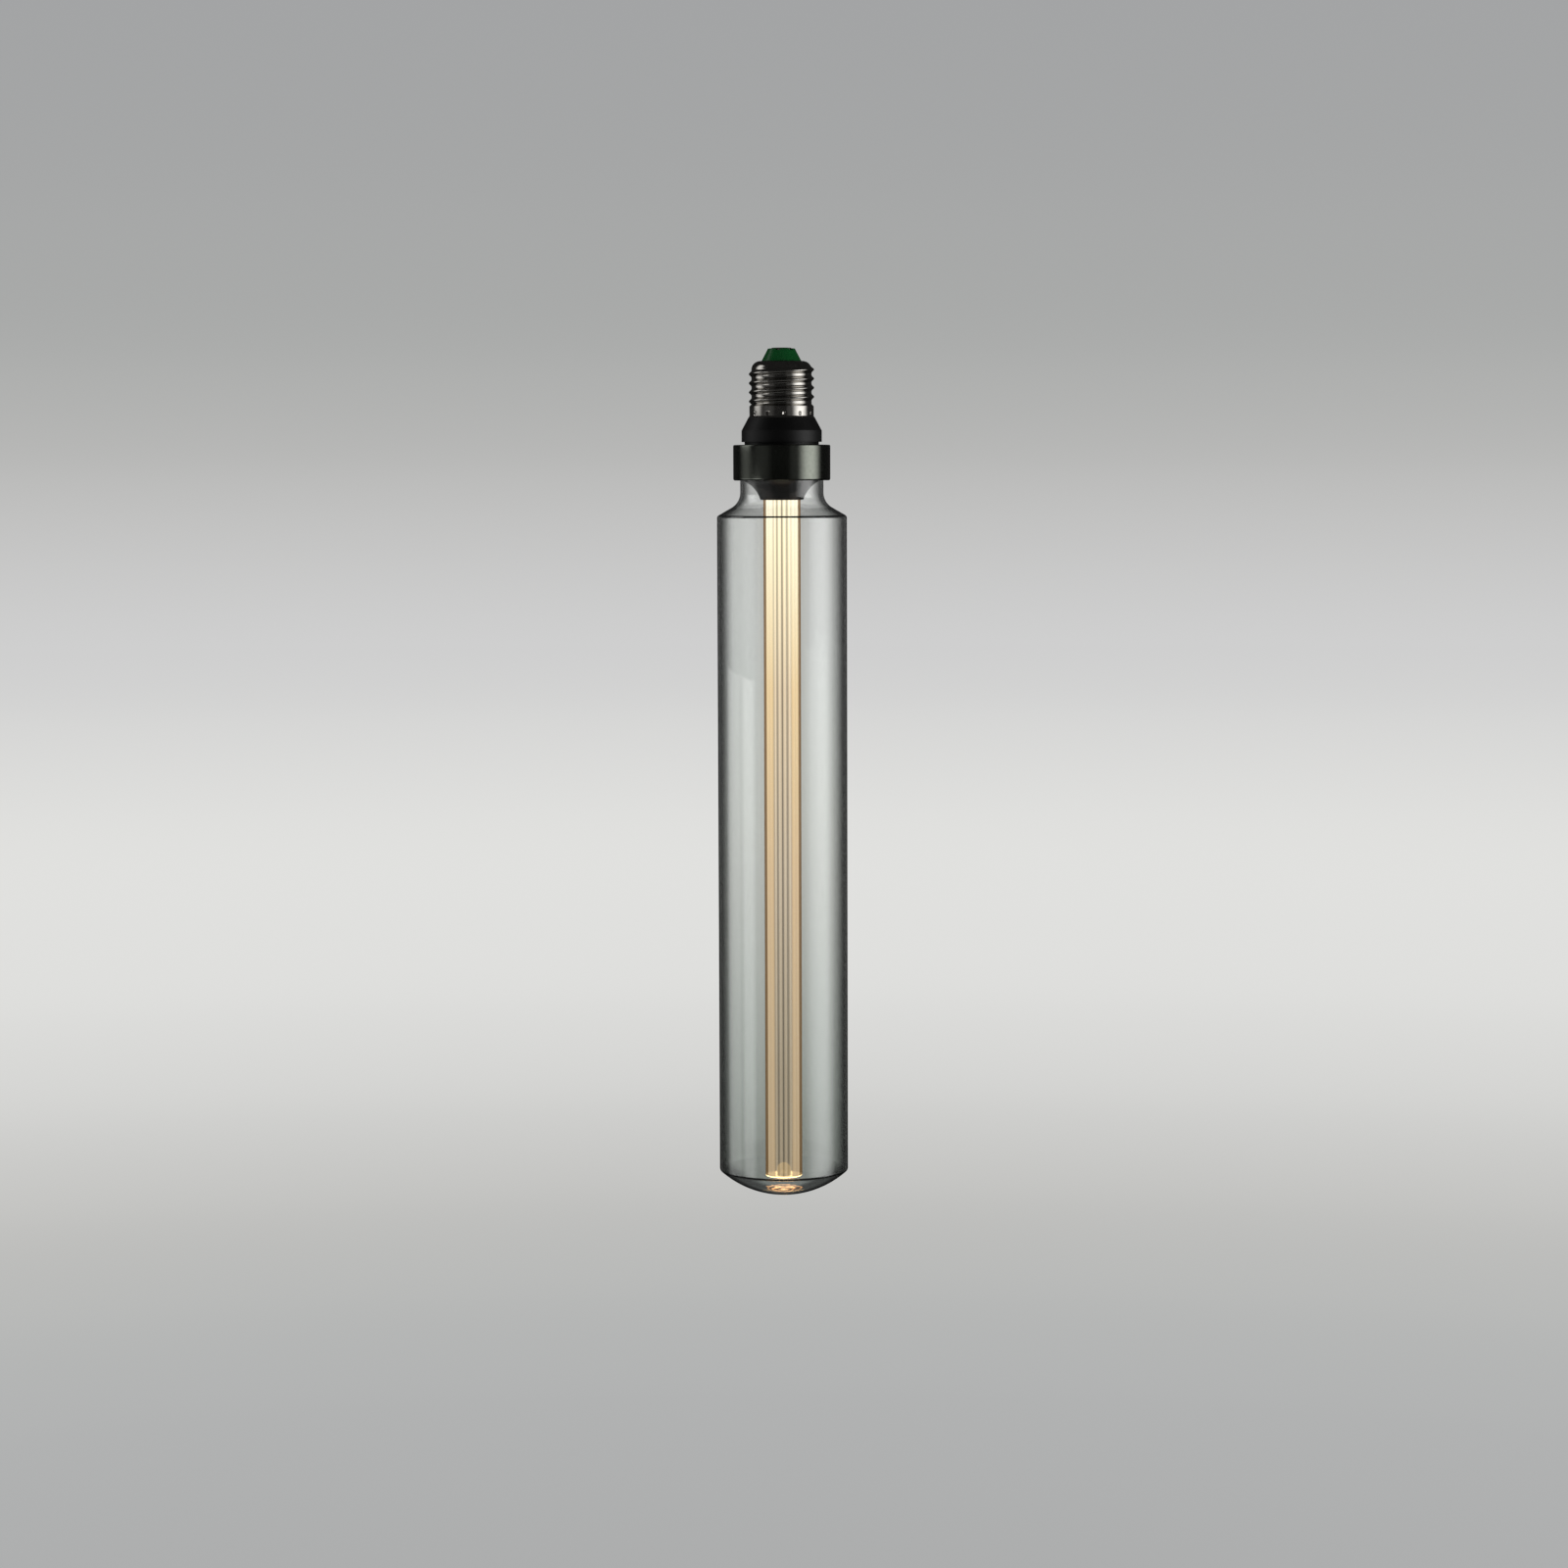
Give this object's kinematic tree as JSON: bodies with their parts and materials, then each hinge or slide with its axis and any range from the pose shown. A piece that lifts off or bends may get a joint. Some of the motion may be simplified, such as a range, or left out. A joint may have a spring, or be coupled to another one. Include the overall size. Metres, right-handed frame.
{
  "type": "tubular light bulb",
  "caption": "Long clear glass tube light bulb with a screw cap, black collar ring and a glowing fluted light guide on its axis",
  "frame": {"origin": "middle of the centre contact's flat top, on the bulb's axis", "axes": "+Z points out of the screw cap along the bulb's axis; the tube hangs towards -Z"},
  "size_m": [0.0522, 0.0522, 0.3428],
  "materials": {
    "clear_glass": "blown clear soda-lime glass, fire-polished",
    "lit_acrylic": "clear cast acrylic, fluted, lit warm white from its upper end",
    "black_anodised": "black anodised, satin",
    "black_satin_metal": "satin black over turned metal",
    "black_moulding": "moulded, fine matte",
    "dark_nickel": "dark nickel plate on drawn sheet, glossy",
    "green_moulding": "moulded, soft gloss",
    "contact_metal": "dark plated contact",
    "cement": "cap cement, dull",
    "bare_aluminium": "turned",
    "screw_steel": "zinc plated",
    "white_board": "white solder resist",
    "led_phosphor": "silicone with phosphor",
    "green_board": "glass-epoxy board",
    "capacitor_sleeve": "shrunk sleeve",
    "film_case": "dipped epoxy",
    "ferrite": "ferrite bobbin, wound",
    "chip_epoxy": "moulded epoxy",
    "resistor_coat": "flameproof coating",
    "live_insulation": "silicone insulation",
    "tinned_copper": "tinned",
    "positive_insulation": "silicone insulation",
    "negative_insulation": "silicone insulation"
  },
  "bodies": {
    "root": {"glass_envelope": "clear_glass", "light_guide": "lit_acrylic", "guide_holder": "black_anodised", "collar_ring": "black_satin_metal", "cap_housing": "black_moulding", "screw_shell": "dark_nickel", "insulator": "green_moulding", "centre_contact": "contact_metal", "cement_ring": "cement", "heat_sink": "bare_aluminium", "housing_screws": "screw_steel", "board_screws": "screw_steel", "led_board": "white_board", "led_emitters": "led_phosphor", "driver_board": "green_board", "smoothing_capacitor": "capacitor_sleeve", "film_capacitor": "film_case", "choke": "ferrite", "bridge_rectifier": "chip_epoxy", "driver_chip": "chip_epoxy", "fuse_resistor": "resistor_coat", "live_wire": "live_insulation", "neutral_wire": "tinned_copper", "led_lead_positive": "positive_insulation", "led_lead_negative": "negative_insulation"}
  },
  "joints": []
}
